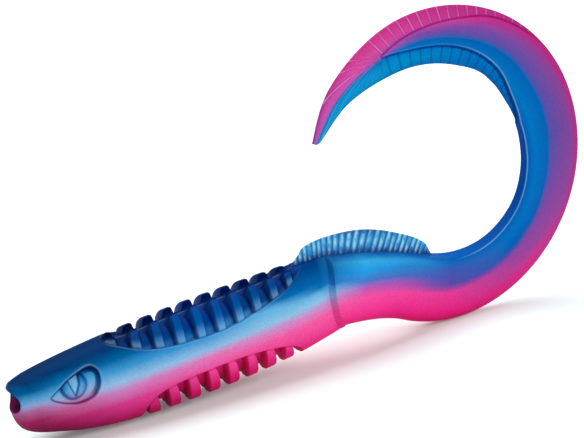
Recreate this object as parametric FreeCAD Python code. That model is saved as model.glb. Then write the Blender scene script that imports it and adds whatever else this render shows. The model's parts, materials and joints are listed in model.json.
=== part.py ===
import FreeCAD, Part
import os
from math import cos, pi, radians, sin, tan

# Soft plastic curl-tail worm, moulded in two shots: blue back, pink belly.
# +X runs from nose to tail, +Z is the back, sizes in mm.
# Shapes are drawn round the body axis and lowered so the nose pocket is the origin.

# Driving dimensions
body_length = 61.0          # nose to collar
body_half_height = 8.35
body_half_width = 6.9
pocket_radius = 1.7         # round hook pocket in the nose
pocket_depth = 5.0
pocket_height = 2.8         # above the body axis
eye_radius = 2.35           # ball in the almond socket, flush with the skin
eye_x = 10.06
eye_z = 3.95
socket_depth = 0.45
rib_first = 21.3            # front face of the first full rib
rib_pitch = 3.68
rib_count = 8
rib_depth = 1.5
rib_side_width = 1.5        # along X, at the rib's lower end
rib_top_width = 2.45        # along X, beside the back channel
channel_width = 2.0
panel_top = 4.1             # smooth side panel, at mid body
panel_bottom = -1.7
panel_lead = 3.0            # ahead of the first full rib
panel_tail = 1.72           # past the end of the rib row
joint_gap = 0.3
trunk_bend = 9.0            # degrees each way
collar_bend = 12.0
sweep_bend = 20.0
uncurl_bend = 30.0
root_radius = 55.5          # drooping first part of the tail
root_heading = -11.0
curl_heading = -28.0
curl_x = 27.1               # curl centre, beyond the collar
curl_z = 15.7
curl_radius = 29.65         # outer edge of the curl
curl_end = 153.0            # degrees round the curl centre
web_half = 0.42
core_inset = 0.15           # the thin web stands this far past the core
fin_half = 0.4
fin_height = 3.0
shell_reach = 40.0          # larger than any section

exponent = 2.3
ring_points = 20
lift = FreeCAD.Vector(0, 0, -pocket_height)
across = FreeCAD.Vector(0, 1, 0)
scale = body_length / 61.0
tall = body_half_height / 8.35
wide = body_half_width / 6.9

# Profile rows: share of body length, top, bottom and half width
profile = [
    (0.000, 5.3, 0.4, 2.4),
    (0.012, 6.1, -2.0, 3.2),
    (0.050, 6.9, -3.9, 4.1),
    (0.110, 7.5, -5.0, 4.9),
    (0.200, 7.9, -6.5, 5.7),
    (0.300, 8.15, -7.6, 6.4),
    (0.420, 8.35, -8.2, 6.8),
    (0.560, 8.35, -8.35, 6.9),
    (0.700, 8.35, -8.3, 6.8),
    (0.840, 8.1, -7.8, 6.4),
    (0.940, 7.8, -7.1, 6.0),
    (1.060, 7.6, -6.3, 5.5),
]


def lerp(table, x):
    if x <= table[0][0]:
        return table[0][1]
    for (x0, y0), (x1, y1) in zip(table, table[1:]):
        if x <= x1:
            return y0 + (y1 - y0) * (x - x0) / (x1 - x0)
    return table[-1][1]


def oval(centre, up, high, low, half):
    """Closed ring with its own reach above and below the centre."""
    points = []
    for i in range(ring_points):
        a = 2 * pi * i / ring_points
        c = abs(cos(a)) ** (2 / exponent) * (1 if cos(a) >= 0 else -1)
        s = abs(sin(a)) ** (2 / exponent) * (1 if sin(a) >= 0 else -1)
        reach = high if s >= 0 else low
        points.append(centre + up * (s * reach) + across * (c * half))
    curve = Part.BSplineCurve()
    curve.interpolate(points, PeriodicFlag=True)
    return Part.Wire(curve.toShape())


def slab(x0, x1):
    size = 2 * shell_reach
    return Part.makeBox(x1 - x0, size, size, FreeCAD.Vector(x0, -shell_reach, -shell_reach))


def trunk_loft(inset):
    rings = []
    for share, top, bottom, half in profile:
        middle = (top + bottom) / 2 * tall
        reach = (top - bottom) / 2 * tall - inset
        centre = FreeCAD.Vector(share * body_length, 0, middle)
        rings.append(oval(centre, FreeCAD.Vector(0, 0, 1), reach, reach, half * wide - inset))
    return Part.makeLoft(rings, True, False)


def spline_face(lower, upper):
    """Flat face in the XZ plane between two splines."""
    edges = []
    curve = Part.BSplineCurve()
    curve.interpolate(lower)
    edges.append(curve.toShape())
    edges.append(Part.makeLine(lower[-1], upper[-1]))
    curve = Part.BSplineCurve()
    curve.interpolate(upper[::-1])
    edges.append(curve.toShape())
    edges.append(Part.makeLine(upper[0], lower[0]))
    return Part.Face(Part.Wire(edges))


def prism(face):
    solid = face.extrude(across * (2 * shell_reach))
    solid.translate(across * -shell_reach)
    return solid


def flat(x, z):
    return FreeCAD.Vector(x, 0, z)


# Joint masks: what stays of the front piece and of the rear piece at a hinge
def hinge_masks(centre, ahead, axis, knuckle, relief):
    side = axis.cross(ahead)
    depth = shell_reach
    slope = tan(radians(relief))
    start = centre - axis * depth
    masks = []
    for sign in (-1, 1):
        near = start + ahead * (sign * joint_gap / 2)
        out = ahead * (sign * depth * slope)
        far = ahead * (sign * depth)
        rim = [near, near + out + side * depth, near + far + side * depth]
        rim += [near + far - side * depth, near + out - side * depth, near]
        block = Part.Face(Part.makePolygon(rim)).extrude(axis * (2 * depth))
        masks.append(block)
    pin = Part.makeCylinder(knuckle, 2 * depth, start, axis)
    seat = Part.makeCylinder(knuckle + joint_gap, 2 * depth, start, axis)
    return masks[0].fuse(pin), masks[1].cut(seat)


def upright_masks(x, knuckle, bend):
    relief = bend / 2 + 0.4
    return hinge_masks(flat(x, 0), flat(1, 0), flat(0, 1), knuckle, relief)


# Tail path: a drooping arc, then the curl
curl_centre = flat(body_length + curl_x, curl_z)
width_rows = [(-118, 13.15), (-90, 13.0), (-45, 12.6), (0, 12.9), (45, 11.5), (70, 10.2),
              (90, 9.2), (110, 7.9), (130, 5.6), (145, 3.4), (153, 1.6), (160, 1.0)]
thick_rows = [(0, 6.4), (8, 5.0), (16.5, 3.5), (28, 2.15), (45, 1.85), (65, 1.65), (85, 1.35),
              (100, 1.05), (112, 0.7), (140, 0.6)]
# Edges of the thick core, measured in from the curl's outer edge
core_out_rows = [(30, 0.0), (45, 0.75), (60, 1.15), (75, 2.35), (90, 3.0), (100, 3.35), (112, 3.75)]
core_in_rows = [(15, 12.65), (30, 11.65), (48, 9.45), (76, 7.45), (90, 6.55), (100, 5.85), (112, 3.95)]
split_rows = [(0, 0.9), (28, 1.2), (60, -1.2), (80, -1.8), (95, -0.6), (126, -0.3)]


def inward(heading):
    a = radians(heading)
    return flat(-sin(a), cos(a))


def curl_angle(s):
    mean = curl_radius - width_rows[0][1] / 2
    return curl_heading - 90 + (s - root_length) / mean * 180 / pi


def curl_length(angle):
    mean = curl_radius - width_rows[0][1] / 2
    return root_length + (angle - curl_heading + 90) * pi / 180 * mean


root_length = root_radius * radians(root_heading - curl_heading)
tail_length = curl_length(curl_end)


def tail_frame(s):
    """Point, forward direction, inward direction and half height at s along the tail."""
    first_half = width_rows[0][1] / 2
    if s < root_length:
        heading = root_heading - (s / root_radius) * 180 / pi
        joined = curl_centre - inward(curl_heading) * (curl_radius - first_half)
        pivot = joined - inward(curl_heading) * root_radius
        n = inward(heading)
        half = first_half + 0.2 * (1 - s / root_length)
        return pivot + n * root_radius, n.cross(across) * -1, n, half
    angle = curl_angle(s)
    half = lerp(width_rows, angle) / 2
    shrink = max(0, angle - 135) / 18 * 1.2
    n = flat(-cos(radians(angle)), -sin(radians(angle)))
    return curl_centre - n * (curl_radius - shrink - half), n.cross(across) * -1, n, half


def stations(s0, s1, step=2.5):
    count = max(3, int(round((s1 - s0) / step)) + 1)
    return [s0 + (s1 - s0) * i / (count - 1) for i in range(count)]


def core_ring(s):
    point, ahead, n, half = tail_frame(s)
    angle = curl_angle(s) if s > root_length else -118
    outer = half
    inner = half
    if angle > 30:
        outer = half - lerp(core_out_rows, angle)
    if angle > 15:
        inner = min(half, lerp(core_in_rows, angle) - half)
    centre = point + n * ((inner - outer) / 2)
    reach = max((inner + outer) / 2 - core_inset, 0.5)
    return oval(centre, n, reach, reach, lerp(thick_rows, s))


def web_ring(s):
    point, ahead, n, half = tail_frame(s)
    top = point + n * half
    low = point - n * half
    y = across * web_half
    return Part.makePolygon([top - y, top + y, low + y, low - y, top - y])


def tail_ribbon(s0, s1, side):
    """Solid on one side of the colour split, following the tail."""
    near = []
    far = []
    for s in stations(s0, s1, 3.0):
        point, ahead, n, half = tail_frame(s)
        near.append(point + n * lerp(split_rows, s))
        far.append(point + n * (side * (half + 3.0)))
    return prism(spline_face(near, far))


def tail_piece(s0, s1):
    core_end = curl_length(110)
    web_start = curl_length(17)
    pieces = []
    if s0 < core_end:
        pieces.append(Part.makeLoft([core_ring(s) for s in stations(s0, min(s1, core_end))], True, False))
    if s1 > web_start + 5:
        start = max(s0 - 0.1, web_start)
        pieces.append(Part.makeLoft([web_ring(s) for s in stations(start, s1)], True, False))
    return pieces


def largest(shape):
    """The main solid of a boolean, or all of them where they are of like size."""
    solids = [s for s in shape.Solids if s.Volume > 0.05]
    if len(solids) == 1:
        return solids[0]
    return Part.makeCompound(solids)


def keep(name, shape):
    shape = largest(shape)
    shape.translate(lift)
    shape.exportStep("parts/" + name + ".step")
    box = shape.BoundBox
    print(name, len(shape.Solids), round(shape.Volume, 1), [round(v, 1) for v in (box.XMin, box.XMax)], shape.isValid())


# Head and trunk, with ribs left standing between grooves
def ribbed_trunk():
    skin = trunk_loft(0)
    floor = trunk_loft(rib_depth)
    # the smooth panel is as long as the rib row, whatever its pitch and count
    row_start = (rib_first - panel_lead) * scale
    row_end = (rib_first + rib_pitch * rib_count + panel_tail) * scale
    steps = [row_start + share * (row_end - row_start) for share in (0, 3 / 28, 2 / 7, 0.5, 5 / 7, 0.875, 1)]
    rise = [4.6, 2.4, 0.7, 0.0, 0.7, 2.2, 4.6]
    top = [flat(a, (panel_top + b) * tall) for a, b in zip(steps, rise)]
    low = [flat(a, (panel_bottom - b * 0.7) * tall) for a, b in zip(steps, rise)]
    panel = prism(spline_face(low, top))
    solid = skin
    zone0 = top[0].x
    zone1 = top[-1].x
    for k in range(rib_count + 1):
        front = rib_first + rib_pitch * (k - 1)
        width = rib_top_width if k else rib_side_width
        x0 = max((front + width) * scale, zone0)
        x1 = min((front + rib_pitch) * scale, zone1)
        groove = slab(x0, x1).cut(floor).cut(panel)
        solid = solid.cut(groove)
    crest = max(row[1] for row in profile) * tall
    channel = Part.makeBox(zone1 - zone0, channel_width, 2 * rib_depth,
                           FreeCAD.Vector(zone0, -channel_width / 2, crest - rib_depth))
    return solid.cut(channel)


def eye_relief(side):
    """Almond socket and ball, cut and added on one side of the head."""
    skin = 4.95 * wide          # where the head's side stands at the eye
    where = FreeCAD.Vector(eye_x * scale, side * (skin - eye_radius), eye_z * tall)
    ball = Part.makeSphere(eye_radius, where)
    outline = [flat(6.0, 3.2), flat(9.3, 4.9), flat(11.6, 5.6), flat(13.4, 5.7), flat(14.4, 4.4)]
    under = [flat(6.0, 3.2), flat(7.6, 1.6), flat(10.4, 0.74), flat(12.8, 1.2), flat(14.4, 4.4)]
    edges = []
    for points in (outline, under[::-1]):
        curve = Part.BSplineCurve()
        curve.interpolate([flat(p.x * scale, p.z * tall) for p in points])
        edges.append(curve.toShape())
    face = Part.Face(Part.Wire(edges))
    socket = face.extrude(across * (side * shell_reach))
    return socket, ball


trunk = ribbed_trunk()
inner_skin = trunk_loft(socket_depth)
for side in (-1, 1):
    socket, ball = eye_relief(side)
    trunk = trunk.cut(socket.cut(inner_skin))
    trunk = trunk.fuse(ball)
pocket_mouth = FreeCAD.Vector(-2, 0, pocket_height)
trunk = trunk.cut(Part.makeCylinder(pocket_radius, pocket_depth + 2, pocket_mouth, FreeCAD.Vector(1, 0, 0)))

# Colour split of head and trunk
split_points = [flat(-6, 2.1), flat(9, 2.0), flat(25, 1.2), flat(45, 1.2), flat(75, 1.5)]
split_points = [flat(p.x * scale, p.z * tall) for p in split_points]
high = [p + flat(0, 20) for p in split_points]
deep = [p - flat(0, 20) for p in split_points]
back_side = prism(spline_face(split_points, high))
belly_side = prism(spline_face(deep, split_points))

# Dorsal fin outline, standing on the last of the trunk and the tail root
fin_low = []
fin_top = []
for i in range(13):
    t = i / 12
    s = -7.5 * scale + t * (7.5 * scale + root_length + 4.2)
    if s < 0:
        base = flat(body_length + 0.6 + s, 7.0 * tall)
        n = flat(0, 1)
    else:
        point, ahead, n, half = tail_frame(s)
        base = point + n * (half - 1.0)
    crown = min(1, t * 5) ** 0.6 * min(1, (1 - t) * 1.7) ** 0.7
    fin_low.append(base)
    fin_top.append(base + n * (1.3 + fin_height * crown - 0.5 * t))
fin_face = spline_face(fin_low, fin_top)
fin = fin_face.extrude(across * (2 * fin_half))
fin.translate(across * -fin_half)

# Head and trunk pieces
bends = [(rib_first + rib_pitch * k - 0.6) * scale for k in (0, 2, 4, 6)]
trunk_masks = [upright_masks(x, 2.6, trunk_bend) for x in bends]
collar_masks = upright_masks(body_length, 4.6, collar_bend)
names = ["head", "trunk_1", "trunk_2", "trunk_3", "trunk_4"]
ends = [-3] + bends + [body_length]
os.makedirs("parts", exist_ok=True)
for i, name in enumerate(names):
    piece = trunk.common(slab(ends[i] - 8, ends[i + 1] + 8))
    if i:
        piece = piece.common(trunk_masks[i - 1][1])
    piece = piece.common(trunk_masks[i][0] if i < 4 else collar_masks[0])
    back = piece.common(back_side)
    keep(name + "_back", back)
    keep(name + "_belly", piece.common(belly_side))
    if name == "trunk_4":
        fin_front = fin.common(collar_masks[0]).cut(piece)
        keep("fin_front", fin_front)

# Tail pieces: sweeps bend sideways, uncurls open the curl
joint_s = [root_length, 28.7, 41.0, 53.3, 65.6, 77.9, 90.2, 102.0, 113.5]
tail_masks = [collar_masks]
for j, s in enumerate(joint_s):
    point, ahead, n, half = tail_frame(s)
    if j % 2:
        reach = half + 0.05
        tail_masks.append(hinge_masks(point, ahead, across, reach, 0))
    else:
        tail_masks.append(hinge_masks(point, ahead, n, lerp(thick_rows, s), 0))
limits = [0.0] + joint_s + [tail_length]
for i in range(len(joint_s) + 1):
    name = "tail_root" if i == 0 else "curl_" + str(i)
    last = i == len(joint_s)
    before = -1.0 if i == 0 else limits[i] - 0.2
    after = limits[i + 1] if last else limits[i + 1] + 7.5
    solids = []
    for solid in tail_piece(before, after):
        solid = solid.common(tail_masks[i][1])
        if not last:
            solid = solid.common(tail_masks[i + 1][0])
        solids.append(solid)
    solid = solids[0] if len(solids) == 1 else solids[0].fuse(solids[1])
    print(name, [round(s.Volume, 1) for s in solids], round(solid.Volume, 1), solid.isValid())
    keep(name + "_back", solid.common(tail_ribbon(before - 2, after + 2, 1)))
    keep(name + "_belly", solid.common(tail_ribbon(before - 2, after + 2, -1)))
    if i == 0:
        keep("fin_rear", fin.common(collar_masks[1]).cut(solid))

for j, s in enumerate(joint_s):
    point, ahead, n, half = tail_frame(s)
    point = point + lift
    kind = "uncurl" if j % 2 else "sweep"
    print(kind, [round(v, 3) for v in (point.x, point.z)], [round(v, 5) for v in (n.x, n.z)], round(half, 2))
print("bends", [round(b, 3) for b in bends], "root", root_length, "length", tail_length)
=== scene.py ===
import json
import math
import bpy
import numpy as np
from mathutils import Matrix, Vector

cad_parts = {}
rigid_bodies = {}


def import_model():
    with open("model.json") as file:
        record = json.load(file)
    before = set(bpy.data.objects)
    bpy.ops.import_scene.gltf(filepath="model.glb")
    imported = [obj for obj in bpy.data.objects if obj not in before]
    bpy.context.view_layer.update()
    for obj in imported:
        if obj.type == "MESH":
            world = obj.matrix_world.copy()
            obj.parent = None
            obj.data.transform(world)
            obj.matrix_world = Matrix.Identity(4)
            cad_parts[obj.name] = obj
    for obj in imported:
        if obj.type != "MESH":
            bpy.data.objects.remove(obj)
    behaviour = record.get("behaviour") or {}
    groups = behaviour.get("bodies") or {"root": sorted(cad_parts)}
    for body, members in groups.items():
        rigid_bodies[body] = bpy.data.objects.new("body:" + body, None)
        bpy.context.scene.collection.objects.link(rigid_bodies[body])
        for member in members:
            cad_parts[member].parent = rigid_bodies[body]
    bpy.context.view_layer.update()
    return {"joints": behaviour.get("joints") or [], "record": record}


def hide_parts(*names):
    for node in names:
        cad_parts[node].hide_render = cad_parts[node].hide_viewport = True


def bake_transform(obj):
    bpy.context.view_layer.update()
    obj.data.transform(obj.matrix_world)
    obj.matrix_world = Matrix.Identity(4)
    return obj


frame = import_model()
joints = {joint["name"]: joint for joint in frame["joints"]}
mm = 0.001
axisHeight = joints["collar_bend"]["pos_m"][2] / mm      # body axis below the nose pocket


def place(x, y, z):
    return Vector((x * mm, y * mm, (z + axisHeight) * mm))


# Camera: ahead of broadside, above, and leaning so the level body climbs to the right
camera = {"azimuth": -22.0, "elevation": 20.0, "lean": 12.0, "lens": 80.14,
          "x": -24.51, "y": -198.90, "z": 94.46, "sensor": 36, "nearest": 0.005, "farthest": 20}


def makeCamera(spec):
    azimuth, elevation, lean = [math.radians(spec[turn]) for turn in ("azimuth", "elevation", "lean")]
    back = Vector((math.sin(azimuth) * math.cos(elevation),
                   -math.cos(azimuth) * math.cos(elevation), math.sin(elevation)))
    right = Vector((math.cos(azimuth), math.sin(azimuth), 0))
    up = back.cross(right)
    leaned = right * math.cos(lean) - up * math.sin(lean)
    top = back.cross(leaned)
    bpy.ops.object.camera_add()
    cam = bpy.context.object
    cam.name = "camera"
    turn = Matrix((leaned, top, back)).transposed().to_4x4()
    cam.matrix_world = Matrix.Translation(place(spec["x"], spec["y"], spec["z"])) @ turn
    cam.data.lens = spec["lens"]
    cam.data.sensor_width = spec["sensor"]
    cam.data.clip_start = spec["nearest"]
    cam.data.clip_end = spec["farthest"]
    bpy.context.scene.camera = cam


makeCamera(camera)


# Smooth curve through a few rows, each (where, value), that never swings past them
def through(rows, where):
    rows = np.array(rows, float)
    xs, ys = rows[:, 0], rows[:, 1]
    steps = np.diff(xs)
    slopes = np.diff(ys) / steps
    tangents = np.zeros(len(xs))
    tangents[0], tangents[-1] = slopes[0], slopes[-1]
    same = slopes[1:] * slopes[:-1] > 0
    w1, w2 = 2 * steps[1:] + steps[:-1], steps[1:] + 2 * steps[:-1]
    safe = np.where(same, w1 / np.where(same, slopes[:-1], 1) + w2 / np.where(same, slopes[1:], 1), 1)
    tangents[1:-1] = np.where(same, (w1 + w2) / safe, 0)
    at = np.clip(np.asarray(where, float), xs[0], xs[-1])
    i = np.clip(np.searchsorted(xs, at) - 1, 0, len(xs) - 2)
    t = (at - xs[i]) / steps[i]
    h00, h10 = (1 + 2 * t) * (1 - t) ** 2, t * (1 - t) ** 2
    h01, h11 = t * t * (3 - 2 * t), t * t * (t - 1)
    return h00 * ys[i] + h10 * steps[i] * tangents[i] + h01 * ys[i + 1] + h11 * steps[i] * tangents[i + 1]


# From 0 at low to 1 at high, flat at both ends
def ease(low, high, value):
    t = np.clip((value - low) / (high - low), 0, 1)
    return t * t * (3 - 2 * t)


# 1 on a stretch of the worm, easing in over its first two places and out over its last two
def window(span, where):
    return ease(span[0], span[1], where) * (1 - ease(span[2], span[3], where))


# A soft line: 1 on it, fading over its width
def stroke(away, width):
    return np.exp(-(away / width) ** 2)


paintHeight = 8.35      # height above the axis, in mm, where the body's paint reads 1
uvLength = 200      # mm of worm along the whole paint map
uvHalf = 0.45      # how far up the paint map a paint height of 1 reaches from its middle

# Body in mm: rows are a place along the worm, then the value there
trunk = {
    "length": 61.0,
    "top": [(0, 5.3), (0.35, 5.78), (1.6, 6.2), (3.5, 6.62), (7, 7.08), (12, 7.52), (19, 7.9), (26, 8.15),
            (35, 8.3), (43, 8.25), (51, 8.1), (56, 8.0), (60.2, 7.78), (61.4, 7.66)],
    "bottom": [(0, 1.2), (0.05, 0.35), (0.25, -0.8), (0.7, -1.85), (1.4, -2.6), (2.5, -3.3), (4, -3.95),
               (6, -4.62), (10, -5.9), (15, -6.95), (20, -7.55), (26, -7.95), (35, -8.15), (43, -8.05),
               (50, -7.52), (56, -6.82), (60.2, -6.2), (61.2, -5.8)],
    "half": [(0, 3.65), (0.35, 3.85), (1.6, 4.2), (3.5, 4.6), (7, 5.1), (12, 5.7), (18, 6.35), (25, 6.75),
             (34, 6.9), (43, 6.8), (51, 6.4), (56, 5.95), (61, 5.3)],
    "bulge": 2.35,
    "wall": (60.1, 61.0), "step": 1.35,      # the collar: where its wall runs, and how far it stands out
    "facet": (45, 51),      # where the shoulder turns into a sloping facet over a flat side
    "crease": [(44, 5.4), (49, 5.0), (60, 3.8)],
    "plan": [(0, 1.35), (0.5, 1.3), (1.6, 1.15), (3.5, 0.9), (7, 0.4), (10, 0)],      # nose rounding
    "swept": 2.6, "sweptSpan": (50, 60, 61.5, 72),      # the collar's sides stand forward of its middle
}
# Tail: the root's arc, then the curl. Width and core edges go by the curl's angle,
# the rest by mm from the collar
tail = {
    "rootRadius": 55.5, "rootHeading": -11.0, "curlHeading": -28.0,
    "curlX": 27.1, "curlZ": 15.7, "curlRadius": 29.65, "spikeAngle": 112.5, "endAngle": 154.4,
    "rootHalf": [(0, 6.72), (5, 6.35), (12, 6.25)], "rootBlend": 16.5,
    "settle": 14, "rise": 0.22, "upright": 9,
    "width": [(-118, 12.9), (-90, 12.4), (-65, 12.0), (-45, 11.95), (-20, 12.45), (0, 12.85), (14, 12.9),
              (27, 12.8), (45, 11.95), (58, 11.25), (70, 11.0), (90, 9.85), (110, 8.1), (130, 5.4),
              (145, 2.95), (150, 2.0), (153, 1.3), (154.4, 0.4)],
    "thick": [(0, 6.4), (4, 6.0), (8, 5.0), (13, 3.95), (19, 3.0), (28, 2.05), (42, 1.4), (55, 1.12),
              (68, 1.0), (85, 0.95), (100, 0.75), (108, 0.45), (127, 0.25)],
    "coreOut": [(25, 29.65), (45, 28.95), (60, 28.45), (75, 27.3), (90, 26.65), (100, 26.35), (112.5, 25.95)],
    "coreIn": [(12, 16.85), (30, 18.0), (48, 20.2), (62, 21.4), (76, 22.3), (90, 23.1), (100, 23.9),
               (112.5, 25.8)],
    "web": 0.38, "innerWebFrom": 12, "outerWebFrom": 25,
}
curlCentre = (trunk["length"] + tail["curlX"], tail["curlZ"])
firstHalf = tail["width"][0][1] / 2
meanRadius = tail["curlRadius"] - firstHalf
rootLength = tail["rootRadius"] * math.radians(tail["rootHeading"] - tail["curlHeading"])
tailLength = rootLength + math.radians(tail["endAngle"] - tail["curlHeading"] + 90) * meanRadius
wholeLength = trunk["length"] + tailLength
spikeTurn = math.radians(tail["spikeAngle"] - tail["curlHeading"] + 90)
spikeAt = trunk["length"] + rootLength + spikeTurn * meanRadius


def curlAngle(along):
    return tail["curlHeading"] - 90 + np.degrees((along - trunk["length"] - rootLength) / meanRadius)


# Centre, inward direction and half height of the section at each place along the worm
def spine(along):
    s = np.asarray(along, float)
    top, bottom = through(trunk["top"], s), through(trunk["bottom"], s)
    onTrunk = s <= trunk["length"]
    tailS = s - trunk["length"]
    heading = np.where(tailS < rootLength, tail["rootHeading"] - np.degrees(tailS / tail["rootRadius"]),
                       tail["curlHeading"] + np.degrees((tailS - rootLength) / meanRadius))
    h = np.radians(np.where(onTrunk, 0, heading))
    inX, inZ = -np.sin(h), np.cos(h)
    j = math.radians(tail["curlHeading"])
    joinX = curlCentre[0] + math.sin(j) * meanRadius
    joinZ = curlCentre[1] - math.cos(j) * meanRadius
    pivotX = joinX + math.sin(j) * tail["rootRadius"]
    pivotZ = joinZ - math.cos(j) * tail["rootRadius"]
    # the root starts exactly at the collar and settles onto its arc
    settle = 1 - ease(0, tail["settle"], tailS)
    startX = pivotX - math.sin(math.radians(tail["rootHeading"])) * tail["rootRadius"]
    rootX = pivotX + inX * tail["rootRadius"] + (trunk["length"] - startX) * settle
    rootZ = pivotZ + inZ * tail["rootRadius"] + tail["rise"] * settle
    angle = curlAngle(s)
    half = through(tail["width"], angle) / 2
    inset = 0.35 * ease(98, 125, angle) + 0.8 * ease(134, tail["endAngle"], angle)
    radius = tail["curlRadius"] - inset - half
    curlX, curlZ = curlCentre[0] - inX * radius, curlCentre[1] - inZ * radius
    onCurl = tailS > rootLength
    x = np.where(onTrunk, s, np.where(onCurl, curlX, rootX))
    z = np.where(onTrunk, (top + bottom) / 2, np.where(onCurl, curlZ, rootZ))
    # the root's rings start upright at the collar and lean into the droop
    upright = tail["upright"]
    lean = np.radians(np.where(tailS < upright, heading * ease(-1.5, upright, tailS), heading))
    lean = np.where(onTrunk, 0, lean)
    rootHalf = through(tail["rootHalf"] + [(tail["rootBlend"], firstHalf)], tailS)
    reach = np.where(onTrunk, (top - bottom) / 2, np.where(onCurl, half, rootHalf))
    return x, z, -np.sin(lean), np.cos(lean), reach


# How far the side stands from the mid plane, at height n of the ring at s
def halfWidth(s, n, z, reach):
    angle = float(curlAngle(s))
    onTrunk = s <= trunk["length"] + 0.1
    level = 0.0
    if onTrunk:
        half = float(through(trunk["half"], s))
        up = low = trunk["bulge"]
        span = lowSpan = reach
    else:
        t = s - trunk["length"]
        half = float(through(tail["thick"], t))
        flat = float(ease(2, 26, t))
        up, low = trunk["bulge"] + 7.5 * flat, trunk["bulge"] + 0.6 * flat
        middle = tail["curlRadius"] - reach
        span = lowSpan = reach
        if angle > tail["innerWebFrom"]:
            span = min(reach, middle - float(through(tail["coreIn"], angle)))
        if angle > tail["outerWebFrom"]:
            lowSpan = min(reach, float(through(tail["coreOut"], angle)) - middle)
        span, lowSpan = max(span, 0.05), max(lowSpan, 0.05)
        if angle > tail["outerWebFrom"]:
            level = (span - lowSpan) / 2
            span = lowSpan = max((span + lowSpan) / 2, 0.3)
    ratio = np.clip(np.abs(n - level) / np.where(n >= level, span, lowSpan), 0, 1)
    power = np.where(n >= level, up, low)
    side = half * (1 - ratio ** power) ** (1 / power)
    if s > trunk["facet"][0] and onTrunk:
        facet = float(ease(*trunk["facet"], s))
        crease = float(through(trunk["crease"], s))
        line = half + 0.2 - np.clip(z + n - crease, 0, None) * 1.3
        side = side + facet * 0.9 * (np.minimum(side + 0.3 * facet, np.clip(line, 0, None)) - side)
        start, end = trunk["wall"]
        out = float(np.clip((s - start) / (end - start), 0, 1))
        full = (half + trunk["step"]) * (1 - np.clip(np.abs(n) / reach, 0, 1) ** 2.5) ** 0.4
        side = side + out * (np.maximum(full, side) - side)
    if angle > tail["innerWebFrom"]:
        # the thin webs along both edges of the tail
        grown = float(ease(tail["innerWebFrom"], 20, angle))
        web = tail["web"] * grown * (1 - 0.35 * float(ease(110, 150, angle)))
        thin = web * np.clip(1 - np.abs(n / reach) ** 9, 0, 1) ** (1 / 9)
        side = (side ** 4 + thin ** 4) ** 0.25
    return side


# Ribs and grooves, in mm
ribs = {
    "first": 21.3, "pitch": 3.68, "count": 8, "depth": 1.45,
    "sideWidth": 1.5, "topWidth": 2.45, "bottomWidth": 2.75, "edge": 0.17,
    "channel": 1.0, "start": 15.6, "end": 56,
    "backSpan": (16.2, 16.8, 51.5, 55.2), "bellySpan": (19.4, 20.0, 50.0, 51.3),
    "upperEdge": (17, 19, 47.5, 50), "lowerEdge": (20, 22, 50, 51.5),      # the panel's two creases
    "panelTop": [(16.2, 8.3), (17.4, 7.75), (19.2, 7.1), (21, 6.3), (23, 5.55), (25.5, 4.9), (29.3, 4.35),
                 (33, 4.1), (36.5, 4.0), (40, 4.25), (43.5, 4.8), (47, 5.5), (50.3, 6.25), (52.6, 6.9),
                 (54.4, 7.45), (56, 8.0)],
    "panelLow": [(19.3, -8.2), (20.2, -6.2), (21.2, -4.3), (22.6, -3.1), (24.5, -2.4), (27, -2.0), (31, -1.8),
                 (35, -1.75), (39, -1.9), (43, -2.35), (46, -3.0), (48.6, -3.8), (50.4, -5.2), (51.5, -7.0),
                 (52.2, -8.2)],
}


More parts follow.
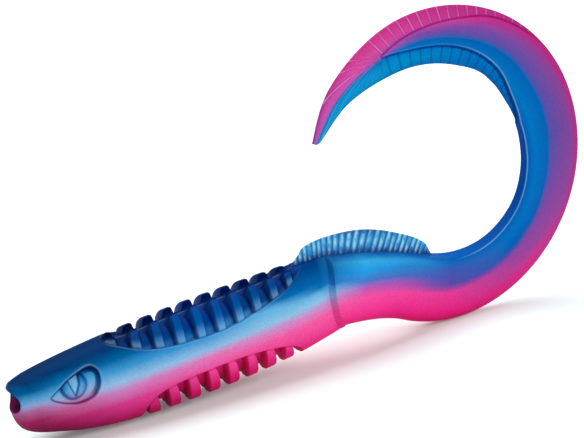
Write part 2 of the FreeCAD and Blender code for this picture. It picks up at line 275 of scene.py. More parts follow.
# How deep the trunk is cut at a place, with the painted shade and painted highlights there
def grooves(x, y, z):
    top, low = through(ribs["panelTop"], x), through(ribs["panelLow"], x)
    back = ease(0, 0.22, z - top) * window(ribs["backSpan"], x)
    belly = ease(0, 0.22, low - z) * window(ribs["bellySpan"], x)
    upShare = np.clip((z - top) / np.maximum(8.2 - top, 0.5), 0, 1)
    lowShare = np.clip((low - z) / np.maximum(low + 8.3, 0.5), 0, 1)
    width = ribs["sideWidth"] + (ribs["topWidth"] - ribs["sideWidth"]) * upShare ** 1.5
    wide = ribs["sideWidth"] + (ribs["bottomWidth"] - ribs["sideWidth"]) * lowShare ** 0.7
    width = np.where(z < 0, wide, width)
    edge = ribs["edge"]
    rib, wall = np.zeros_like(x), np.zeros_like(x)
    for k in range(-1, ribs["count"] + 1):
        front = ribs["first"] + ribs["pitch"] * k
        rounded = np.where(z > 0, 1.1 * upShare ** 2, 0.5 * lowShare ** 2)
        tucked = np.where(z > 0, 0, 0.5 * lowShare ** 2)
        one = ease(0, 1, (x - front + edge) / (2 * edge + rounded))
        one = one * (1 - ease(0, 1, (x - front - width + edge + tucked) / (2 * edge + tucked)))
        if k in (-1, ribs["count"]):
            one = one * (z > 0)
        rib = np.maximum(rib, one)
        wall = np.maximum(wall, stroke(x - front + 0.12, 0.22))
    channelHalf = np.where(z > 0, ribs["channel"], ribs["channel"] * 0.55)
    inner = ease(channelHalf - 0.15, channelHalf + 0.3, np.abs(y))
    ridge = 0.4 * stroke(y, 0.22)
    stands = rib * inner
    shallow = np.where(z > 0, 0.45 + 0.55 * ease(17.5, 22.5, x) * (1 - 0.8 * ease(46.5, 54, x)),
                       0.85 + 0.45 * ease(20, 23, x) * (1 - 0.9 * ease(48, 51.4, x)))
    zone = np.maximum(back, belly)
    upperEdge, lowerEdge = window(ribs["upperEdge"], x), window(ribs["lowerEdge"], x)
    crease = stroke(z - top - 0.1, 0.13) * upperEdge + stroke(low - z - 0.1, 0.13) * lowerEdge
    depth = ribs["depth"] * shallow * zone * (1 - stands) - ridge * zone * shallow * (z > 0) + 0.2 * crease
    # painted shade, darkest on the channel walls between the two rib rows
    channel = zone * (z > 0) * (1 - ease(1.25, 2.2, np.abs(y))) * ease(0.3, 0.8, np.abs(y))
    # painted shade in the grooves, on the ribs' front walls, along the creases and on the channel walls
    dark = zone * ((1 - stands) * np.where(z > 0, 0.3, 0.12) + wall * inner * np.where(z > 0, 0.5, 0.3))
    dark = dark + 0.65 * channel * stands + 0.5 * crease * (z > 0) + 0.25 * crease * (z < 0)
    # painted highlights along the upper crease, on the centre ridge, on rib tops near the channel and low on
    # the groove floors
    light = 0.25 * stroke(z - top + 0.1, 0.08) * upperEdge + 0.5 * zone * (z > 0) * (1 - rib) * ridge
    light = light + 0.3 * zone * stands * (z > 0) * (1 - ease(0.15, 0.6, upShare))
    light = light + 0.12 * zone * (1 - stands) * (z > 0) * (1 - ease(0.05, 0.45, upShare))
    return depth, np.clip(dark, 0, 1), np.clip(light, 0, 1)


# Moulded eye on each side of the head, in mm
eye = {
    "outline": [(5.6, 3.12), (7.45, 4.05), (9.3, 4.88), (11.3, 5.5), (13.0, 5.85), (14.0, 5.7), (14.65, 4.7),
                (14.4, 3.1), (13.7, 1.85), (12.6, 1.0), (10.4, 0.74), (8.1, 1.33), (6.4, 2.12), (5.75, 2.62)],
    "ballX": 10.06, "ballZ": 3.95, "ballRadius": 2.45, "ballRise": 0.72,
    "depth": 0.95, "lid": 0.12, "line": 0.11, "start": 4.5,
    "slitFront": [(9.28, 5.1), (9.5, 3.75), (9.97, 2.2)],
    "slitRear": [(11.3, 5.6), (11.0, 3.9), (9.97, 2.2)],
}


# Smooth closed curve through a few points
def closedCurve(points, steps=12):
    p = np.array(points, float)
    a, b, c, d = np.roll(p, 1, 0), p, np.roll(p, -1, 0), np.roll(p, -2, 0)
    t = np.linspace(0, 1, steps, endpoint=False)[None, :, None]
    a, b, c, d = a[:, None], b[:, None], c[:, None], d[:, None]
    curve = 2 * b + (c - a) * t + (2 * a - 5 * b + 4 * c - d) * t ** 2 + (3 * b - a - 3 * c + d) * t ** 3
    return curve.reshape(-1, 2) / 2


# Distance to a line of points; a closed one has it positive inside and negative outside
def distanceTo(x, z, line, closed=False):
    a = np.array(line, float)
    b = np.roll(a, -1, 0)
    if not closed:
        a, b = a[:-1], b[:-1]
    px, pz = x[:, None] - a[None, :, 0], z[:, None] - a[None, :, 1]
    ex, ez = (b - a)[None, :, 0], (b - a)[None, :, 1]
    t = np.clip((px * ex + pz * ez) / (ex ** 2 + ez ** 2), 0, 1)
    away = np.hypot(px - ex * t, pz - ez * t).min(1)
    if not closed:
        return away
    az, bz = a[None, :, 1], b[None, :, 1]
    crosses = ((az > z[:, None]) != (bz > z[:, None]))
    at = a[None, :, 0] + (z[:, None] - az) * ex / np.where(ez == 0, 1, ez)
    inside = (crosses & (x[:, None] < at)).sum(1) % 2 == 1
    return np.where(inside, away, -away)


eyeOutline = closedCurve(eye["outline"])


# Where a slit of the eye stands along the head at each height
def slitPlace(slit, z):
    rising = slit[::-1]
    return np.interp(z, [point[1] for point in rising], [point[0] for point in rising])


# Depth of the eye at places on the head, with its painted shade and painted highlights
def eyeSocket(x, z):
    inside = distanceTo(x, z, eyeOutline, True)
    rear = ease(11.5, 14.0, x)
    sunk = ease(-0.05, 0.28, inside)
    depth = sunk * (0.14 + eye["depth"] * np.clip((x - 6) / 8.5, 0, 1) ** 1.5)
    depth = depth - eye["lid"] * stroke(inside + 0.22, 0.16)
    depth = depth + 0.2 * stroke(inside - 0.04, eye["line"])
    away = np.hypot(x - eye["ballX"], z - eye["ballZ"]) / eye["ballRadius"]
    ball = np.sqrt(np.clip(1 - away ** 2, 0, 1))
    depth = depth - eye["ballRise"] * ball * sunk
    front, back = distanceTo(x, z, eye["slitFront"]), distanceTo(x, z, eye["slitRear"])
    onBall = ease(1.0, 0.9, away) * sunk
    slit = np.maximum(0.85 * stroke(front, 0.12), stroke(back, 0.19)) * onBall
    depth = depth + 0.3 * slit
    # painted shade along the outline and the slits, against the socket's rear wall, round the ball's rim and
    # toward its edge
    dark = 0.95 * stroke(inside - 0.03, 0.115) + 0.95 * slit
    dark = dark + 0.75 * rear * ease(-0.05, 0.1, inside) * (1 - ease(0.45, 0.7, inside)) * ease(0.9, 1.8, z)
    dark = dark + 0.7 * sunk * stroke(away - 0.93, 0.12) * (1 - 0.6 * ease(9.5, 12, x))
    dark = dark + 0.4 * onBall * ease(0.3, 0.95, away)
    # painted highlights on the ball between the slits and along the upper lid
    pastFront, beforeRear = x - slitPlace(eye["slitFront"], z), slitPlace(eye["slitRear"], z) - x
    wedge = ease(0, 0.15, pastFront) * ease(0, 0.15, beforeRear)
    light = 0.4 * onBall * wedge + 0.06 * onBall * ease(0.9, 0.3, away)
    light = light + 0.45 * stroke(inside + 0.16, 0.09) * ease(3.0, 4.5, z)
    near = inside > -1.2
    dark, light = np.clip(dark, 0, 1), np.clip(light, 0, 1)
    return np.where(near, depth, 0), np.where(near, dark, 0), np.where(near, light, 0)


# Mouth: a round pocket that flares out to the lips, in mm
mouth = {"pocket": 1.7, "depth": 5.0, "corner": 0.12, "straightTo": 1.9, "rim": 0.9, "lipBack": 0.35,
         "pocketRings": 8, "flareRings": 12, "lipRings": 4}


# The nose rounds back to both sides, and its upper lip stands behind the lower one
def snout(s, y, n, half, reach):
    back = float(through(trunk["plan"], s)) * (y / half) ** 2
    return back + mouth["lipBack"] * ease(-0.6, 0.9, n / reach) * (1 - ease(0, 4, s))


# Closed ring in its own plane: side y and height n, evenly spaced
def ringPoints(s, count):
    x, z, inX, inZ, reach = [float(v) for v in spine(s)]
    t = np.linspace(0, math.pi, 700)
    n = -reach * np.cos(t)
    y = halfWidth(s, n, z, reach)
    y[0] = y[-1] = 0
    length = np.concatenate([[0], np.cumsum(np.hypot(np.diff(n), np.diff(y)))])
    even = np.linspace(0, length[-1], count // 2 + 1)
    n, y = np.interp(even, length, n), np.interp(even, length, y)
    fullN = np.concatenate([n, n[-2:0:-1]])
    fullY = np.concatenate([-y, y[-2:0:-1]])
    return x, z, inX, inZ, reach, fullY, fullN


# One ring of the skin in mm, with its paint height, painted shade and painted highlights
def skinRing(s, count):
    x, z, inX, inZ, reach, y, n = ringPoints(s, count)
    dark, light = np.zeros_like(y), np.zeros_like(y)
    if s < ribs["end"]:
        # outward direction within the ring
        dy, dn = np.roll(y, -1) - np.roll(y, 1), np.roll(n, -1) - np.roll(n, 1)
        size = np.maximum(np.hypot(dy, dn), 1e-9)
        outY, outN = dn / size, -dy / size
        flip = np.sign(np.sum(outY * y + outN * n)) or 1
        outY, outN = outY * flip, outN * flip
        cut = np.zeros_like(y)
        if s > ribs["start"]:
            cut, dark, light = grooves(np.full_like(y, s), y, z + n)
        elif s > eye["start"]:
            cut, dark, light = eyeSocket(np.full_like(y, s), z + n)
        y, n = y - outY * cut, n - outN * cut
    px, py, pz = x + inX * n, y, z + inZ * n
    if s < trunk["plan"][-1][0]:
        px = px + snout(s, y, n, float(through(trunk["half"], s)), reach)
    if trunk["sweptSpan"][0] < s < trunk["sweptSpan"][-1]:
        px = px - trunk["swept"] * (y / np.abs(y).max()) ** 2 * window(trunk["sweptSpan"], s)
    start, end = trunk["wall"]
    # painted shade on the collar's wall, which faces the nose
    dark = dark + 0.1 * window((start - 0.05, start + 0.05, end - 0.04, end + 0.04), s)
    angle = float(curlAngle(s))
    if s > trunk["length"] + tail["settle"]:
        # a painted highlight along the tail's crisp inner edge, painted shade on the inner rim beyond it, then
        # painted shade along the edges of its core between the webs
        middle = tail["curlRadius"] - reach
        innerEdge = min(reach - 0.35, middle - float(through(tail["coreIn"], angle)) - 0.25)
        fades = 1 - 0.85 * float(ease(50, 82, angle))
        shows = float(ease(trunk["length"] + 24, trunk["length"] + 36, s))
        light = light + 0.7 * shows * fades * stroke(n - innerEdge, 0.09)
        webbed = float(ease(14, 26, angle))
        dark = dark + 0.25 * shows * ease(innerEdge + 0.1, innerEdge + 0.5, n) * (1 - webbed)
        if angle < tail["spikeAngle"]:
            outerEdge = middle - float(through(tail["coreOut"], angle))
            dark = dark + 0.45 * webbed * stroke(n - innerEdge - 0.42, 0.2)
            dark = dark + 0.38 * float(ease(32, 50, angle)) * stroke(n - outerEdge, 0.16)
    height = (z + inZ * n) / paintHeight if s <= trunk["length"] else n / reach
    return np.stack([px, py, pz], 1), np.clip(height, -1.1, 1.1), np.clip(dark, 0, 1), np.clip(light, 0, 1)


# Rings from the pocket's floor out to the lips
def mouthRings(count):
    a = np.linspace(-math.pi / 2, 1.5 * math.pi, count + 1)[:-1]
    _, z0, _, _, reach, lipY, lipN = ringPoints(0.0, count)
    half = trunk["half"][0][1]
    rings = []
    deep, pocket, corner = mouth["depth"], mouth["pocket"], mouth["corner"]
    step = (deep - mouth["straightTo"]) / mouth["pocketRings"]
    plan = [(deep, 0.02), (deep, 0.5 * pocket), (deep, 0.93 * pocket), (deep - corner, pocket)]
    plan += [(deep - corner - i * step, pocket) for i in range(1, mouth["pocketRings"] + 1)]
    for where, radius in plan:
        wallY, wallZ = -radius * np.cos(a), radius * np.sin(a) - axisHeight
        rings.append(np.stack([np.full(count, where), wallY, wallZ], 1))
    lip = np.stack([snout(0.0, lipY, lipN, half, reach), lipY, z0 + lipN], 1)
    rimY, rimN = lipY * mouth["rim"], lipN * mouth["rim"]
    rim = np.stack([snout(0.0, rimY, rimN, half, reach) + 0.1, rimY, z0 + rimN], 1)
    inner = rings[-1].copy()
    for i in range(mouth["flareRings"]):
        t = (i + 1) / mouth["flareRings"]
        opened = math.sin(t * math.pi / 2)
        rings.append(inner + (rim - inner) * np.array([t ** 1.7, opened, opened]))
    for i in range(mouth["lipRings"]):
        t = (i + 1) / (mouth["lipRings"] + 1)
        ring = rim + (lip - rim) * t
        ring[:, 0] -= 0.12 * math.sin(math.pi * t)      # the lip swells forward a little
        rings.append(ring)
    return rings


# Rays of the webs: spacing in mm inside and outside, how they lean, and how closely they fan at the spike
rays = {"inner": 2.3, "outer": 1.68, "lean": 0.22, "fan": 3.3, "innerFan": 1.3}


# Ray count across the thin webs, and how much web there is: rays lean back, then fan past the core's end
def webRays(s, n, reach):
    angle = float(curlAngle(s))
    middle = tail["curlRadius"] - reach
    if angle < tail["innerWebFrom"]:
        return np.full_like(n, (s - spikeAt) / rays["outer"]), np.zeros_like(n)
    innerEdge = middle - float(through(tail["coreIn"], angle))
    outerEdge = middle - float(through(tail["coreOut"], angle))
    web = ease(0.05, 0.3, n - innerEdge) * float(ease(14, 20, angle))
    web = np.maximum(web, ease(0.1, 0.35, outerEdge - n) * float(ease(36, 46, angle)))
    if s > spikeAt:
        web = np.maximum(web, float(ease(spikeAt, spikeAt + 0.8, s)))
    ahead = (s - spikeAt) - rays["lean"] * np.abs(n)
    turn = np.arctan2(np.clip(ahead, 0, None), np.abs(n) + 0.15)
    phase = np.minimum(ahead, 0) / np.where(n > 0, rays["inner"], rays["outer"])
    phase = phase + turn * rays["fan"] * np.where(n > 0, rays["innerFan"], 1.0)
    return phase, web


def addUv(mesh, name, values):
    layer = mesh.uv_layers.get(name) or mesh.uv_layers.new(name=name)
    index = np.zeros(len(mesh.loops), np.int32)
    mesh.loops.foreach_get("vertex_index", index)
    layer.data.foreach_set("uv", values[index].astype(np.float32).ravel())


# A grid primitive wrapped into a closed tube through the rings
def wrapGrid(name, rings, heights, alongs, phases, webs, darks, lights):
    count = len(rings[0])
    bpy.ops.object.select_all(action="DESELECT")
    bpy.ops.mesh.primitive_grid_add(x_subdivisions=len(rings) - 1, y_subdivisions=count, size=0.02)
    piece = bpy.context.object
    piece.name = piece.data.name = name
    mesh = piece.data
    points = np.zeros((count + 1, len(rings), 3))
    uv = np.zeros((count + 1, len(rings), 2))
    ray = np.zeros((count + 1, len(rings), 2))
    # the third map carries the painted shade and painted highlights
    shadeLight = np.zeros((count + 1, len(rings), 2))
    for i, ring in enumerate(rings):
        points[:, i] = np.concatenate([ring, ring[:1]])
        uv[:, i, 0] = alongs[i] / uvLength
        uv[:, i, 1] = 0.5 + uvHalf * np.concatenate([heights[i], heights[i][:1]])
        for column, values in ((ray[:, i, 0], phases[i]), (ray[:, i, 1], webs[i]),
                               (shadeLight[:, i, 0], darks[i]), (shadeLight[:, i, 1], lights[i])):
            column[:-1], column[-1] = values, values[0]
    points[:, :, 2] += axisHeight
    mesh.vertices.foreach_set("co", (points.reshape(-1, 3) * mm).ravel())
    mesh.uv_layers[0].name = "paint"
    addUv(mesh, "paint", uv.reshape(-1, 2))
    addUv(mesh, "rays", ray.reshape(-1, 2))
    addUv(mesh, "marks", shadeLight.reshape(-1, 2))
    piece.matrix_world = Matrix.Identity(4)
    mesh.update()
    bpy.ops.object.mode_set(mode="EDIT")
    bpy.ops.mesh.select_all(action="SELECT")
    bpy.ops.mesh.remove_doubles(threshold=1e-7)      # joins the grid's first and last rows
    bpy.ops.mesh.normals_make_consistent(inside=False)
    bpy.ops.mesh.faces_shade_smooth()
    # the two open ends get flat caps with a crisp edge
    bpy.ops.mesh.select_all(action="DESELECT")
    bpy.ops.mesh.select_mode(type="EDGE")
    bpy.ops.mesh.select_non_manifold()
    bpy.ops.mesh.mark_sharp()
    bpy.ops.mesh.edge_face_add()
    bpy.ops.mesh.select_all(action="SELECT")
    bpy.ops.mesh.normals_make_consistent(inside=False)
    bpy.ops.object.mode_set(mode="OBJECT")
    for face in mesh.polygons:
        if len(face.vertices) > 4:
            face.use_smooth = False
    return piece


# Skin pieces: each runs from the middle of one body to the middle of the next
bodyNames = ["head"] + ["trunk_%d" % i for i in range(1, 5)] + ["tail_root"]
bodyNames += ["curl_%d" % i for i in range(1, 10)]
trunkJoints = ["neck_bend", "trunk_bend_1", "trunk_bend_2", "trunk_bend_3", "collar_bend"]


def jointBetween(a, b):
    return next(j for j in frame["joints"] if j["parent"] == a and j["child"] == b)


# Where a joint sits along the worm, in mm
def alongOf(joint):
    x, z = joint["pos_m"][0] / mm, joint["pos_m"][2] / mm - axisHeight
    if joint["name"] in trunkJoints:
        return x
    grid = np.linspace(trunk["length"] + 3, wholeLength, 3000)
    px, pz = spine(grid)[:2]
    return float(grid[np.argmin(np.hypot(px - x, pz - z))])


links = [jointBetween(a, b) for a, b in zip(bodyNames, bodyNames[1:])]
stops = [alongOf(joint) for joint in links]
seams = [0.0] + [(a + b) / 2 for a, b in zip(stops, stops[1:])] + [wholeLength]


# Rings: how many points each has, and from where along the worm they stand how far apart, in mm
skinRings = {
    "trunkPoints": 352, "tailPoints": 280, "lipTo": 1.6, "lipRings": 14,
    "spacing": [(0.0, 0.2), (4.6, 0.1), (15.6, 0.12), (20.0, 0.092), (54.3, 0.2), (60.0, 0.05), (61.3, 0.15),
                (64.0, 0.27), (146.0, 0.22), (wholeLength + 1, None)],
}


# Ring places from start to end: close together on the detailed trunk, wider along the tail
def ringPlaces(start, end):
    places = []
    for (low, step), (high, _) in zip(skinRings["spacing"], skinRings["spacing"][1:]):
        a, b = max(low, start), min(high, end)
        if a < b:
            places.append(np.linspace(a, b, max(int(round((b - a) / step)), 2), endpoint=False))
    places = np.concatenate(places + [[end]])
    if start == 0.0:
        early = skinRings["lipTo"] * (1 - np.cos(np.linspace(0, math.pi / 2, skinRings["lipRings"])))
        places = np.concatenate([early, places[places > skinRings["lipTo"] + 0.05]])
    if end == wholeLength:
        places = places[:-1]
    return places


skin = []
for i, joint in enumerate(links):
    start, end = seams[i], seams[i + 1]
    around = skinRings["trunkPoints"] if start < trunk["length"] - 1 else skinRings["tailPoints"]
    rows = []
    if i == 0:
        mouthWall = mouthRings(around)
        none = np.zeros(around)
        for k, ring in enumerate(mouthWall):
            # painted shade inside, fading over the last five rings at the lips
            shade = np.full(around, 0.95 * min(1.0, (len(mouthWall) - k) / 5))
            rows.append((ring, np.clip(ring[:, 2] / paintHeight, -1, 1), 0.0, none, none, shade, none))
    for s in ringPlaces(start, end):
        ring, height, dark, light = skinRing(s, around)
        x, z, inX, inZ, reach = [float(v) for v in spine(s)]
        n = (ring[:, 0] - x) * inX + (ring[:, 2] - z) * inZ
        phase, web = webRays(s, n, reach)
        rows.append((ring, height, s, phase, web, dark, light))
    piece = wrapGrid("skin_" + joint["child"], *zip(*rows))
    skin.append(piece)
    print("skin", piece.name, len(piece.data.polygons))

# Dorsal fin: a thin blade in mm, thicker at its foot, with rays and shades that repeat
fin = {
    "start": 53.9, "end": 79.9, "seam": 69.2, "sink": 1.2, "half": 0.42, "edge": 0.15, "spacing": 0.95,
    "lean": 0.16, "ridge": 0.07, "shades": 60, "fullHeight": 3.9, "ringStep": 0.1, "heightPoints": 49,
    "seed": 7,
    "height": [(53.9, 0.0), (54.5, 0.75), (55.5, 1.5), (56.5, 2.5), (58, 2.98), (61, 3.4), (63.5, 3.95),
               (66.2, 4.25), (68.4, 4.1), (71, 3.7), (74.2, 3.15), (76.4, 2.45), (78, 1.55), (79.9, 0.2)],
}


def finPiece(name, start, end):
    rows = []
    random = np.random.default_rng(fin["seed"])
    shade = random.uniform(0.2, 1, fin["shades"])
    for s in np.linspace(start, end, int((end - start) / fin["ringStep"])):
        x, z, inX, inZ, reach = [float(v) for v in spine(s)]
        height = float(through(fin["height"], s))
        low, high = reach - fin["sink"], reach + height
        t = np.linspace(0, 1, fin["heightPoints"])
        n = low + (high - low) * t
        # the rays lean back a little toward the tail as they rise
        ray = (s - fin["lean"] * (n - reach)) / fin["spacing"]
        ridge = fin["ridge"] * np.cos(2 * math.pi * ray)
        blade = fin["half"] + (fin["edge"] - fin["half"]) * t ** 0.8 + ridge * ease(0.25, 0.5, t)
        y = blade * (1 - t ** 14) ** 0.5
        y[-1] = 0.0
        y = np.maximum(y, 0)

        def around(values):
            return np.concatenate([values, values[-2::-1]])
        fullN, fullY = around(n), np.concatenate([-y, y[-2::-1]])
        tone = np.interp(ray % len(shade), np.arange(len(shade)), shade)
        above = (n - reach) / fin["fullHeight"]
        # painted shade darkens the fin's foot where it meets the back
        rows.append((np.stack([x + inX * fullN, fullY, z + inZ * fullN], 1), around(np.clip(above, -1, 1)), s,
                     around(ray), around(tone), around(ease(0.25, 0.0, above)), np.zeros_like(fullN)))
    return wrapGrid(name, *zip(*rows))


finFront = finPiece("dorsal_fin_front", fin["start"], fin["seam"])
finRear = finPiece("dorsal_fin_rear", fin["seam"], fin["end"])
print("fin", len(finFront.data.polygons) + len(finRear.data.polygons))


# Materials: a socket in shader maths
class Wire:
    def __init__(self, tree, socket):
        self.tree, self.socket = tree, socket

    def node(self, kind, settings=None, inputs=None, out=0):
        made = self.tree.nodes.new(kind)
        for key, value in (settings or {}).items():
            if key == "stops":
                ramp = made.color_ramp
                while len(ramp.elements) < len(value):
                    ramp.elements.new(1.0)
                for element, (where, colour) in zip(ramp.elements, value):
                    element.position = where
                    element.color = (*colour, 1)
            else:
                setattr(made, key, value)
        for key, value in (inputs or {}).items():
            if isinstance(value, Wire):
                self.tree.links.new(value.socket, made.inputs[key])
            elif value is not None:
                made.inputs[key].default_value = value
        return Wire(self.tree, made.outputs[out])

    def maths(self, operation, other=None, swapped=False):
        a, b = (other, self) if swapped else (self, other)
        return self.node("ShaderNodeMath", {"operation": operation}, {0: a, 1: b})

    def __add__(self, other):
        return self.maths("ADD", other)

    def __radd__(self, other):
        return self.maths("ADD", other, True)

    def __sub__(self, other):
        return self.maths("SUBTRACT", other)

    def __rsub__(self, other):
        return self.maths("SUBTRACT", other, True)

    def __mul__(self, other):
        return self.maths("MULTIPLY", other)

    def __rmul__(self, other):
        return self.maths("MULTIPLY", other, True)

    def __truediv__(self, other):
        return self.maths("DIVIDE", other)

    def ramped(self, low, high):
        return self.node("ShaderNodeMapRange", {"interpolation_type": "SMOOTHSTEP"},
                         {"Value": self, "From Min": low, "From Max": high})


def mixColour(amount, a, b):
    return amount.node("ShaderNodeMix", {"data_type": "RGBA"}, {0: amount, 6: a, 7: b}, out=2)


def newMaterial(name):
    material = bpy.data.materials.new(name)
    material.use_nodes = True
    return material, material.node_tree.nodes["Principled BSDF"]


# Screen colour of 0 to 255 as linear light
def linear(colour):
    shares = [value / 255 for value in colour]
    return tuple(c / 12.92 if c <= 0.04045 else ((c + 0.055) / 1.055) ** 2.4 for c in shares)


# Paint along the worm: place in mm, then belly-to-back colours by height; on the head and trunk the lowest
# stops are darker, partly the belly's deeper pink and partly painted shade under the belly
paint = {
    "zones": [
        (3, [(0.04, (64, 2, 32)), (0.32, (100, 6, 48)), (0.49, (160, 34, 88)), (0.60, (178, 100, 155)),
             (0.655, (135, 165, 212)), (0.71, (75, 155, 205)), (0.765, (0, 92, 150)), (0.83, (0, 44, 92))]),
        (9, [(0.04, (84, 2, 40)), (0.22, (124, 6, 58)), (0.41, (178, 38, 100)), (0.53, (196, 95, 150)),
             (0.62, (155, 172, 218)), (0.70, (85, 168, 215)), (0.775, (6, 112, 174)), (0.85, (0, 46, 94))]),
        (17, [(0.04, (130, 5, 62)), (0.20, (190, 15, 92)), (0.40, (215, 60, 140)), (0.53, (200, 130, 195)),
              (0.61, (145, 190, 225)), (0.71, (62, 152, 208)), (0.80, (0, 96, 156)), (0.88, (0, 46, 96))]),
        (34, [(0.04, (170, 0, 78)), (0.22, (222, 15, 108)), (0.40, (242, 72, 152)), (0.53, (228, 118, 182)),
              (0.60, (140, 185, 225)), (0.72, (45, 142, 205)), (0.80, (0, 92, 168)), (0.96, (0, 54, 125))]),
        (46, [(0.05, (215, 8, 92)), (0.24, (238, 40, 130)), (0.44, (245, 88, 162)), (0.55, (205, 140, 200)),
              (0.62, (138, 192, 226)), (0.735, (95, 172, 216)), (0.785, (0, 102, 168)), (0.90, (0, 58, 124))]),
        (58, [(0.06, (232, 18, 104)), (0.24, (245, 52, 142)), (0.47, (245, 92, 164)), (0.58, (190, 152, 208)),
              (0.64, (138, 192, 226)), (0.70, (95, 172, 216)), (0.74, (0, 104, 170)), (0.90, (0, 60, 126))]),
        (66, [(0.06, (240, 22, 118)), (0.28, (246, 50, 146)), (0.50, (246, 76, 160)), (0.62, (186, 88, 178)),
              (0.70, (75, 115, 198)), (0.82, (28, 146, 212)), (0.91, (55, 165, 220)), (0.96, (0, 90, 168))]),
        (84, [(0.06, (222, 8, 100)), (0.25, (236, 40, 134)), (0.48, (232, 60, 150)), (0.535, (160, 66, 160)),
              (0.59, (88, 74, 168)), (0.78, (66, 84, 174)), (0.89, (16, 100, 186)), (0.97, (0, 86, 170))]),
        (100, [(0.05, (215, 42, 130)), (0.24, (212, 50, 138)), (0.30, (174, 66, 150)), (0.53, (142, 72, 160)),
               (0.575, (90, 74, 166)), (0.61, (0, 94, 178)), (0.80, (0, 110, 188)), (0.96, (0, 92, 174))]),
        (112, [(0.05, (188, 38, 120)), (0.12, (176, 50, 130)), (0.18, (150, 66, 148)), (0.42, (132, 72, 156)),
               (0.56, (112, 74, 162)), (0.60, (15, 92, 175)), (0.78, (0, 110, 186)), (0.96, (0, 90, 172))]),
        (125, [(0.05, (184, 38, 120)), (0.13, (160, 50, 130)), (0.20, (128, 66, 148)), (0.38, (106, 72, 154)),
               (0.52, (88, 76, 162)), (0.575, (0, 94, 172)), (0.80, (0, 112, 188)), (0.95, (0, 88, 170))]),
        (142, [(0.05, (178, 36, 122)), (0.15, (178, 44, 128)), (0.23, (142, 62, 146)), (0.34, (118, 72, 156)),
               (0.48, (94, 76, 162)), (0.555, (0, 93, 172)), (0.80, (0, 112, 186)), (0.95, (0, 92, 170))]),
        (152, [(0.05, (186, 42, 128)), (0.22, (190, 46, 134)), (0.29, (164, 62, 148)), (0.36, (124, 72, 158)),
               (0.47, (92, 76, 162)), (0.55, (0, 94, 172)), (0.75, (0, 112, 186)), (0.95, (0, 95, 170))]),
        (163, [(0.05, (196, 46, 130)), (0.29, (204, 62, 146)), (0.35, (168, 66, 152)), (0.43, (118, 72, 160)),
               (0.54, (0, 98, 176)), (0.66, (0, 112, 186)), (0.80, (0, 132, 192)), (0.95, (0, 105, 172))]),
        (174, [(0.05, (208, 50, 138)), (0.30, (222, 72, 158)), (0.46, (205, 80, 168)), (0.51, (125, 92, 178)),
               (0.56, (10, 120, 195)), (0.70, (0, 145, 205)), (0.86, (0, 140, 200)), (0.97, (0, 100, 165))]),
        (187, [(0.05, (150, 60, 150)), (0.30, (190, 80, 170)), (0.46, (150, 95, 180)), (0.52, (60, 115, 190)),
               (0.58, (0, 135, 200)), (0.70, (20, 150, 210)), (0.86, (0, 140, 200)), (0.97, (0, 95, 165))]),
    ],
    "tone": 0.86, "grain": 3400.0, "flakes": 5200.0, "clouds": 260.0,
    "rayPink": (0.85, 0.42, 0.66, 1), "rayPale": (0.25, 0.62, 0.82, 1), "rayDark": (0.0, 0.05, 0.24, 1),
    # the second colour on the next line is the pale blue of the painted highlights on crisp edges
    "valley": (0.0, 0.04, 0.2, 1), "pearl": (0.42, 0.72, 0.92, 1), "gloss": (0.15, 0.3, 0.6, 1),
    "metallic": 0.15, "specular": 0.03, "roughness": 0.5, "grainRise": 0.00004, "rayRise": 0.0001,
}


def tinted(colour):
    return tuple(c * paint["tone"] for c in linear(colour))


# The two numbers that a named UV map carries
def uvPair(tree, name):
    source = tree.nodes.new("ShaderNodeUVMap")
    source.uv_map = name
    split = tree.nodes.new("ShaderNodeSeparateXYZ")
    tree.links.new(source.outputs[0], split.inputs[0])
    return Wire(tree, split.outputs[0]), Wire(tree, split.outputs[1])


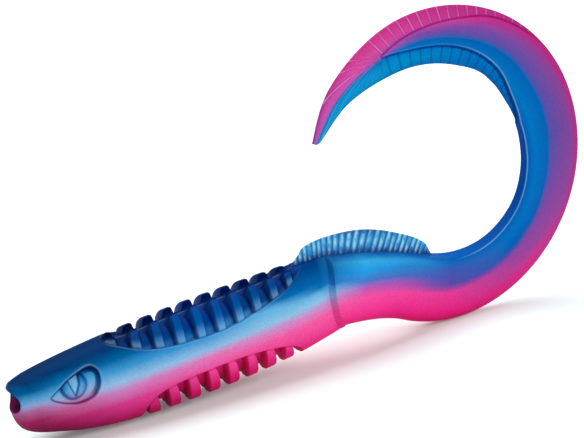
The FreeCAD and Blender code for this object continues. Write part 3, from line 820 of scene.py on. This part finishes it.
def skinMaterial():
    material, shader = newMaterial("pearl_soft_plastic")
    tree = material.node_tree
    along, height = uvPair(tree, "paint")
    phase, web = uvPair(tree, "rays")
    dark, light = uvPair(tree, "marks")
    spot = Wire(tree, tree.nodes.new("ShaderNodeTexCoord").outputs["Object"])
    cloud = spot.node("ShaderNodeTexNoise", None, {"Vector": spot, "Scale": paint["clouds"], "Detail": 3.0})
    level = height + (cloud - 0.5) * 0.03
    colour = previous = None
    for where, stops in paint["zones"]:
        ramp = level.node("ShaderNodeValToRGB", {"stops": [(p, tinted(c)) for p, c in stops]}, {0: level})
        if colour is None:
            colour = ramp
        else:
            step = along.node("ShaderNodeMapRange", None, {"Value": along, "From Min": previous / uvLength,
                                                           "From Max": where / uvLength})
            colour = mixColour(step, colour, ramp)
        previous = where
    # fine rays: dark edged panels inside, thin pale ribs outside
    pulse = (phase.maths("FRACT") - 0.5).maths("ABSOLUTE") * 2
    rib = (1 - pulse).ramped(0.80, 1.0)
    valley = (1 - pulse).ramped(0.45, 0.80) * (1 - rib)
    outer = 1 - height.ramped(0.42, 0.52)
    uneven = cloud.ramped(0.35, 0.65)
    pastSpike = along.ramped((spikeAt - 1) / uvLength, (spikeAt + 2.5) / uvLength)
    pale = outer + (1 - outer) * pastSpike * 0.6
    paleTint = mixColour(outer, paint["rayPale"], paint["rayPink"])
    colour = mixColour(rib * web * pale * 0.38 * (0.35 + uneven * 0.65), colour, paleTint)
    colour = mixColour(rib * web * (1 - outer) * (1 - pastSpike) * 0.55, colour, paint["rayDark"])
    colour = mixColour(valley * web * (0.1 + outer * 0.05), colour, paint["valley"])
    # pearl flakes and pigment grain
    flakes = spot.node("ShaderNodeTexNoise", None, {"Vector": spot, "Scale": paint["flakes"], "Detail": 2.0})
    grain = spot.node("ShaderNodeTexNoise", None, {"Vector": spot, "Scale": paint["grain"], "Detail": 3.0})
    sparkle = 0.64 + flakes * 0.4 + grain * 0.36
    # painted shade deepens the colour in the cuts, and painted highlights lighten crisp edges toward pale blue
    colour = colour.node("ShaderNodeGamma", None, {0: colour, 1: 1 + dark * 1.1})
    colour = colour.node("ShaderNodeHueSaturation", None, {"Color": colour, "Value": sparkle - dark * 0.25})
    colour = mixColour(light * 0.5, colour, paint["pearl"])
    tree.links.new(colour.socket, shader.inputs["Base Color"])
    tree.links.new((paint["roughness"] + (grain - 0.5) * 0.3).socket, shader.inputs["Roughness"])
    shader.inputs["Metallic"].default_value = paint["metallic"]
    shader.inputs["Specular IOR Level"].default_value = paint["specular"]
    shader.inputs["Specular Tint"].default_value = paint["gloss"]
    bump = grain.node("ShaderNodeBump", None, {"Strength": 0.6, "Distance": paint["grainRise"],
                                               "Height": grain})
    raised = bump.node("ShaderNodeBump", None, {"Strength": 0.8, "Distance": paint["rayRise"],
                                                "Height": rib * web, "Normal": bump})
    tree.links.new(raised.socket, shader.inputs["Normal"])
    return material


# Fin paint: belly-to-back colours by height, then painted shade at its foot, its rays and the lines between
# them
finPaint = {
    "stops": [(0.50, (0, 62, 140)), (0.56, (0, 85, 165)), (0.62, (25, 135, 200)), (0.76, (55, 165, 220)),
              (0.90, (20, 130, 195)), (0.95, (0, 95, 165))],
    "foot": (0.0, 0.06, 0.25, 1), "ray": (0.42, 0.72, 0.85, 1), "line": (0.0, 0.07, 0.24, 1), "clouds": 700.0,
    "metallic": 0.25, "specular": 0.2, "roughness": 0.36, "coat": 0.1, "coatRoughness": 0.2,
    "rayRise": 0.00006,
}


def finMaterial():
    material, shader = newMaterial("fin_soft_plastic")
    tree = material.node_tree
    height = uvPair(tree, "paint")[1]
    phase, tone = uvPair(tree, "rays")
    dark = uvPair(tree, "marks")[0]
    spot = Wire(tree, tree.nodes.new("ShaderNodeTexCoord").outputs["Object"])
    cloud = spot.node("ShaderNodeTexNoise", None,
                      {"Vector": spot, "Scale": finPaint["clouds"], "Detail": 3.0})
    rib = 1 - (phase.maths("FRACT") - 0.5).maths("ABSOLUTE") * 2
    ramp = height.node("ShaderNodeValToRGB", {"stops": [(p, tinted(c)) for p, c in finPaint["stops"]]},
                       {0: height})
    patchy = rib.ramped(0.3, 0.9) * cloud.ramped(0.35, 0.65) * (0.5 + tone * 0.35)
    colour = mixColour(patchy, ramp, finPaint["ray"])
    colour = mixColour((1 - rib).ramped(0.62, 0.9) * 0.75, colour, finPaint["line"])
    # painted shade at the fin's foot
    colour = mixColour(dark * 0.6, colour, finPaint["foot"])
    tree.links.new(colour.socket, shader.inputs["Base Color"])
    grain = spot.node("ShaderNodeTexNoise", None, {"Vector": spot, "Scale": paint["grain"], "Detail": 2.0})
    tree.links.new((finPaint["roughness"] + (grain - 0.5) * 0.2).socket, shader.inputs["Roughness"])
    shader.inputs["Metallic"].default_value = finPaint["metallic"]
    shader.inputs["Specular IOR Level"].default_value = finPaint["specular"]
    shader.inputs["Coat Weight"].default_value = finPaint["coat"]
    shader.inputs["Coat Roughness"].default_value = finPaint["coatRoughness"]
    bump = grain.node("ShaderNodeBump", None, {"Strength": 0.6, "Distance": finPaint["rayRise"],
                                               "Height": rib})
    tree.links.new(bump.socket, shader.inputs["Normal"])
    return material


skinFinish = skinMaterial()
finFinish = finMaterial()
for piece in skin:
    piece.data.materials.append(skinFinish)
for piece in (finFront, finRear):
    piece.data.materials.append(finFinish)
print("materials")


# Skin pieces are baked in place, and the model's parts they stand for are hidden
collarLink = trunkJoints.index("collar_bend")


def blendAcross(piece, along):
    x, z, inX, inZ, _ = [float(v) for v in spine(along)]
    centre = place(x, 0, z)
    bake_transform(piece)


members = frame["record"]["behaviour"]["bodies"]
for i, (piece, joint) in enumerate(zip(skin, links)):
    part = "trunk" if i < collarLink else "collar" if i == collarLink else "tail"
    blendAcross(piece, stops[i])
    stands = [n for n in members[joint["parent"]] if not n.startswith("fin")]
    if i == len(links) - 1:
        stands += members[joint["child"]]
    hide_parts(*stands)
blendAcross(finFront, stops[collarLink])
blendAcross(finRear, stops[collarLink + 1])
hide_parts("fin_front")
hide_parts("fin_rear")

# Floor: the worm lies on its throat and on the bottom of its curl, in mm; the floor's size is in metres
floor = {"touchX": 20.0, "touchZ": -7.75, "curlX": 87.0, "curlZ": -14.1, "gap": 0.1, "size": 6.0,
         "colour": (0.785, 0.87, 0.855, 1), "roughness": 0.8, "glow": 0.1}
slope = math.atan2(floor["curlZ"] - floor["touchZ"], floor["curlX"] - floor["touchX"])
bpy.ops.object.select_all(action="DESELECT")
bpy.ops.mesh.primitive_plane_add(size=floor["size"], rotation=(0, -slope, 0),
                                 location=place(floor["curlX"], 0, floor["curlZ"] - floor["gap"]))
ground = bpy.context.object
ground.name = "floor"
floorFinish, floorShader = newMaterial("pale_floor")
floorShader.inputs["Base Color"].default_value = floor["colour"]
floorShader.inputs["Roughness"].default_value = floor["roughness"]
floorShader.inputs["Specular IOR Level"].default_value = 0.0
floorShader.inputs["Emission Color"].default_value = (1, 1, 1, 1)
floorShader.inputs["Emission Strength"].default_value = floor["glow"]
ground.data.materials.append(floorFinish)


# Light: places in mm, sizes in metres and powers in watts, all aimed at the worm's middle
lighting = {
    "lamps": [("key", (660, -840, 600), 0.60, 8.0), ("top", (-80, 700, 1860), 2.20, 54.0)],
    "target": (50, 0, 8), "surround": 0.3,
}


def areaLight(name, where, size, power):
    bpy.ops.object.light_add(type="AREA", location=place(*where))
    lamp = bpy.context.object
    lamp.name = name
    lamp.data.size = size
    lamp.data.energy = power
    aim = place(*lighting["target"]) - lamp.location
    lamp.rotation_mode = "QUATERNION"
    lamp.rotation_quaternion = aim.to_track_quat("-Z", "Y")


for spec in lighting["lamps"]:
    areaLight(*spec)
world = bpy.data.worlds.new("studio")
bpy.context.scene.world = world
world.use_nodes = True
world.node_tree.nodes["Background"].inputs["Color"].default_value = (1, 1, 1, 1)
world.node_tree.nodes["Background"].inputs["Strength"].default_value = lighting["surround"]
bpy.context.scene.view_settings.view_transform = "Standard"
print("floor and light")
